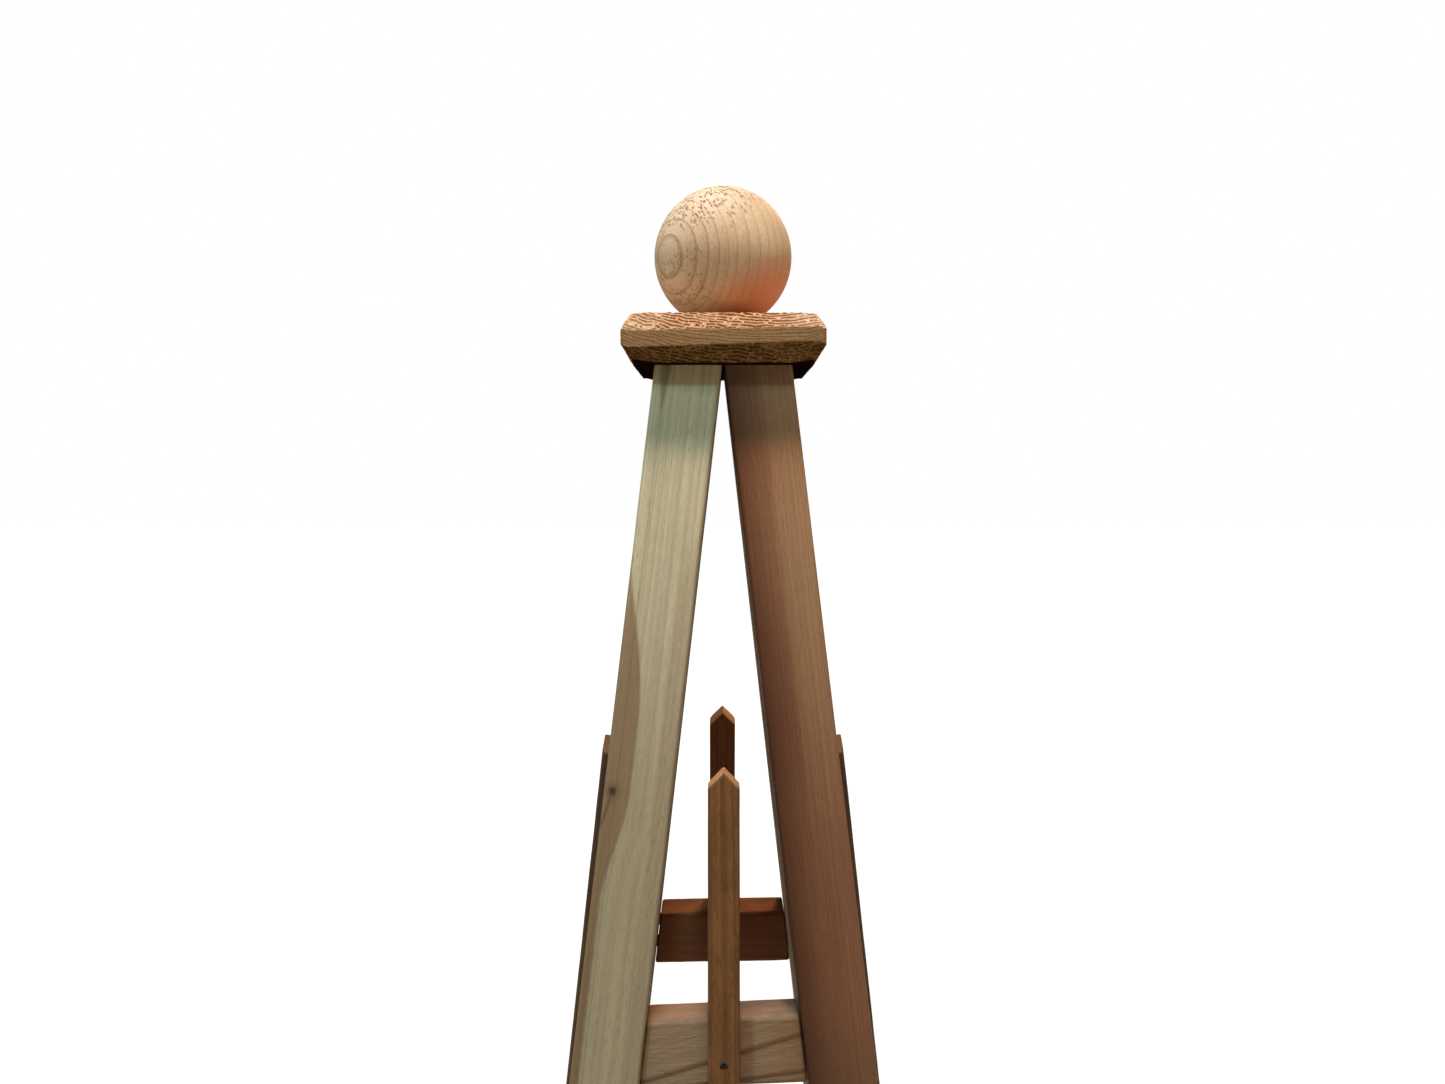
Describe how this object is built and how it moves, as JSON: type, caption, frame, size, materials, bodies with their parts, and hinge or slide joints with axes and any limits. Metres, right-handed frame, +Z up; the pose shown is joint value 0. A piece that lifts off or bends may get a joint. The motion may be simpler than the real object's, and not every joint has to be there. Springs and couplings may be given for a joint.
{
  "type": "garden obelisk",
  "caption": "Tapering timber plant support: leaning square legs joined by rails and pointed laths, under a bevelled square cap with a ball finial.",
  "frame": {"origin": "ground level, on the upright axis, midway between the feet of the legs", "axes": "+Z up the axis towards the ball, front face towards -Y, +X to the right seen from the front"},
  "size_m": [0.477, 0.477, 1.8285],
  "materials": {
    "sapwood_leg": "unfinished planed cedar, pale sapwood",
    "heartwood_leg": "unfinished planed cedar, red-brown heartwood",
    "rail_cedar": "unfinished planed cedar with slanting grain",
    "lath_cedar": "unfinished planed cedar, warm brown",
    "cap_cedar": "sawn bevels with torn grain, planed edge",
    "ball_cedar": "unfinished turned cedar with torn end grain",
    "beech": "plain fluteless dowel",
    "screw_steel": "dull coated steel"
  },
  "bodies": {
    "root": {"leg_front_left": "sapwood_leg", "leg_front_right": "heartwood_leg", "leg_back_right": "sapwood_leg", "leg_back_left": "heartwood_leg", "rail_front_bottom": "rail_cedar", "rail_front_lower": "rail_cedar", "rail_front_upper": "rail_cedar", "rail_front_top": "rail_cedar", "rail_right_bottom": "rail_cedar", "rail_right_lower": "rail_cedar", "rail_right_upper": "rail_cedar", "rail_right_top": "rail_cedar", "rail_back_bottom": "rail_cedar", "rail_back_lower": "rail_cedar", "rail_back_upper": "rail_cedar", "rail_back_top": "rail_cedar", "rail_left_bottom": "rail_cedar", "rail_left_lower": "rail_cedar", "rail_left_upper": "rail_cedar", "rail_left_top": "rail_cedar", "lath_front": "lath_cedar", "lath_right": "lath_cedar", "lath_back": "lath_cedar", "lath_left": "lath_cedar", "cap": "cap_cedar", "ball_finial": "ball_cedar", "finial_screw": "screw_steel", "cap_screws": "screw_steel", "lath_screws_front": "screw_steel", "lath_screws_right": "screw_steel", "lath_screws_back": "screw_steel", "lath_screws_left": "screw_steel", "rail_dowels_bottom": "beech", "rail_dowels_lower": "beech", "rail_dowels_upper": "beech", "rail_dowels_top": "beech"}
  },
  "joints": []
}
